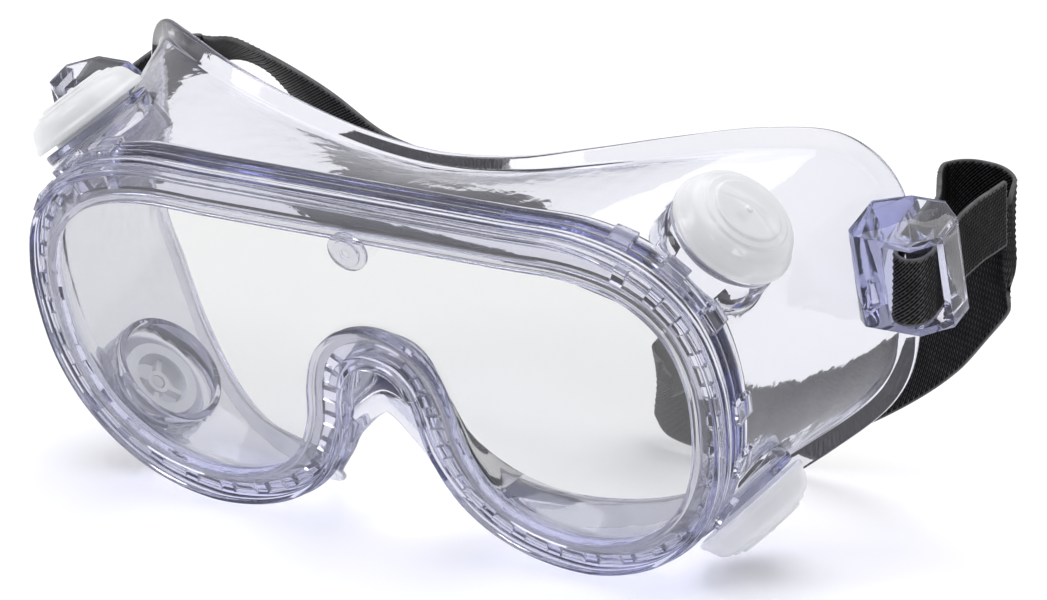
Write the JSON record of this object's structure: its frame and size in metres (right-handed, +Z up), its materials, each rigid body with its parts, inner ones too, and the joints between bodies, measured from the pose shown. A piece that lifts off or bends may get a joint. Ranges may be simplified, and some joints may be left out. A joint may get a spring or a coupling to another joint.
{
  "type": "safety goggles",
  "caption": "Indirect-vent splash goggles: clear soft frame, flat clear lens, round vent plugs with pull-off caps, temple lugs and a flat rubber head strap.",
  "frame": {"origin": "centre of the rectangle that the goggles cover on the surface they stand on, at that surface", "axes": "+Z up, the lens faces -Y, +X towards the wearer's left"},
  "size_m": [0.2102, 0.1068, 0.0912],
  "materials": {
    "clear_pvc": "glossy clear soft vinyl with a faint violet-blue tint in its thick edges",
    "clear_lens": "polished clear polycarbonate",
    "milky_vent": "satin milky translucent polyethylene",
    "strap_rubber": "matt black rubber with a pressed diamond grain"
  },
  "bodies": {
    "goggles_frame": {"lens_rim": "clear_pvc", "rim_cleats": "clear_pvc", "rim_tabs": "clear_pvc", "centre_stud": "clear_pvc", "nose_lip": "clear_pvc", "face_skirt": "clear_pvc", "strap_lug_right": "clear_pvc", "strap_lug_left": "clear_pvc", "vent_boss_upper_right": "clear_pvc", "vent_boss_upper_left": "clear_pvc", "vent_boss_lower_right": "clear_pvc", "vent_boss_lower_left": "clear_pvc", "lens": "clear_lens", "vent_seat_upper_right": "milky_vent", "vent_seat_upper_left": "milky_vent", "vent_seat_lower_right": "milky_vent", "vent_seat_lower_left": "milky_vent"},
    "cap_upper_right": {"vent_cap_upper_right": "milky_vent"},
    "cap_upper_left": {"vent_cap_upper_left": "milky_vent"},
    "cap_lower_right": {"vent_cap_lower_right": "milky_vent"},
    "cap_lower_left": {"vent_cap_lower_left": "milky_vent"},
    "strap": {"head_strap": "strap_rubber"}
  },
  "joints": [
    {"name": "pull_upper_right_cap", "type": "slide", "parent": "goggles_frame", "child": "cap_upper_right", "axis": [0.6202, -0.12, 0.7752], "range_m": [0, 0.009]},
    {"name": "pull_upper_left_cap", "type": "slide", "parent": "goggles_frame", "child": "cap_upper_left", "axis": [-0.6202, -0.12, 0.7752], "range_m": [0, 0.009]},
    {"name": "pull_lower_right_cap", "type": "slide", "parent": "goggles_frame", "child": "cap_lower_right", "axis": [0.6978, 0.1031, -0.7088], "range_m": [0, 0.009]},
    {"name": "pull_lower_left_cap", "type": "slide", "parent": "goggles_frame", "child": "cap_lower_left", "axis": [-0.6978, 0.1031, -0.7088], "range_m": [0, 0.009]},
    {"name": "strap_lift", "type": "hinge", "parent": "goggles_frame", "child": "strap", "pos_m": [0, 0.00802, 0.06233], "axis": [1, 0, 0], "range_deg": [0, 9]}
  ]
}
